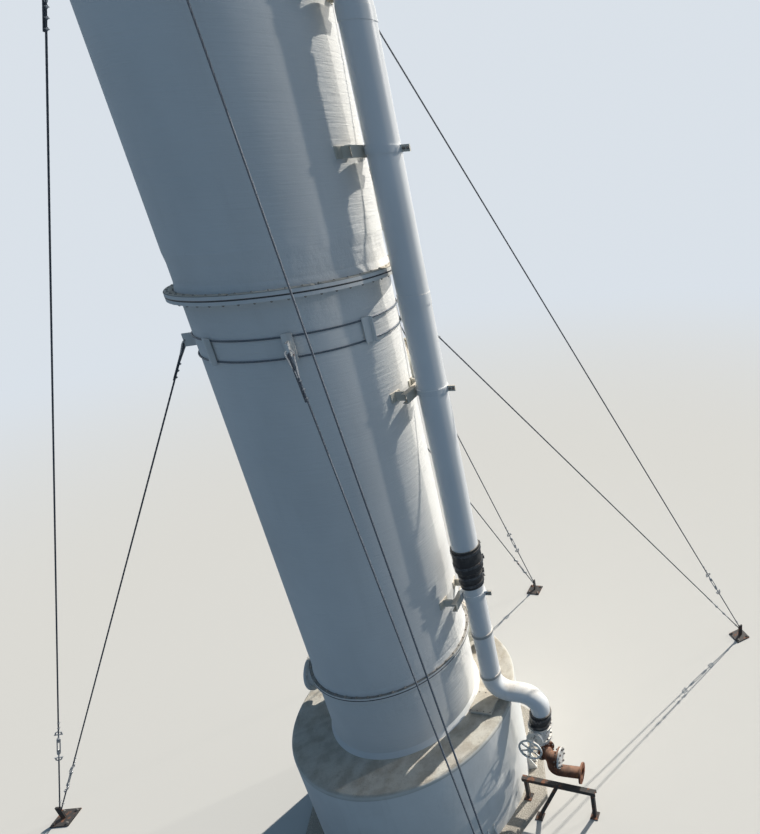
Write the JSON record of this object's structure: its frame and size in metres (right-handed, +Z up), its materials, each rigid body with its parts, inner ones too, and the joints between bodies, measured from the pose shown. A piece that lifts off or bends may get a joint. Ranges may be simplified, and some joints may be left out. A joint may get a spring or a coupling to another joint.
{
  "type": "groundwater treatment column",
  "caption": "Flanged white glass-fibre air stripping tower on a wide sump, with bolted manways, side feed riser, valve, brackets, hoop bands and taut guys.",
  "frame": {"origin": "on the ground under the plinth, on the column's axis", "axes": "+Z up along the column, -Y towards the front that the picture shows"},
  "size_m": [10.6684, 7.4568, 11.8215],
  "materials": {
    "frp_white": "painted glass-fibre laminate, warm white",
    "frp_dusty": "painted laminate under tan dust",
    "pipe_white": "painted plastic pipe",
    "concrete": "weathered concrete",
    "black_rubber": "weathered rubber with steel bands",
    "white_valve_iron": "chipped white paint over cast iron",
    "rusty_steel": "rusted steel pipe",
    "dark_steel": "dark weathered steel",
    "galvanised_steel": "dull galvanised steel",
    "cable_steel": "weathered wire rope",
    "bracket_grey": "grey-beige laminate and strut"
  },
  "bodies": {
    "root": {"air_inlet_nozzle": "frp_white", "blind_flange": "white_valve_iron", "exhaust_stack": "frp_white", "feed_nozzle": "frp_white", "ground_anchors": "dark_steel", "guy_back": "cable_steel", "guy_front": "cable_steel", "guy_left": "cable_steel", "guy_right": "cable_steel", "inlet_coupling": "black_rubber", "inlet_elbow": "rusty_steel", "inlet_valve": "white_valve_iron", "lid_hatch": "frp_dusty", "lid_nozzle": "frp_white", "lower_guy_lugs": "galvanised_steel", "lower_hoops": "galvanised_steel", "lower_section": "frp_white", "manway_lower_cover": "frp_white", "manway_lower_neck": "frp_white", "manway_skirt_cover": "frp_white", "manway_skirt_neck": "frp_white", "manway_upper_cover": "frp_white", "manway_upper_neck": "frp_white", "pipe_stand": "dark_steel", "plinth": "concrete", "riser_bracket_1": "bracket_grey", "riser_bracket_2": "bracket_grey", "riser_bracket_3": "bracket_grey", "riser_bracket_4": "bracket_grey", "riser_coupling": "black_rubber", "riser_lower": "pipe_white", "riser_upper": "pipe_white", "s_bend": "pipe_white", "skirt_section": "frp_white", "sump_floor": "frp_white", "sump_holddowns": "frp_white", "sump_lid": "frp_dusty", "sump_outlet_nozzle": "frp_white", "sump_shell": "frp_white", "top_head": "frp_white", "upper_guy_lugs": "galvanised_steel", "upper_hoops": "galvanised_steel", "upper_section": "frp_white", "valve_elbow": "white_valve_iron", "valve_handwheel": "white_valve_iron"}
  },
  "joints": []
}
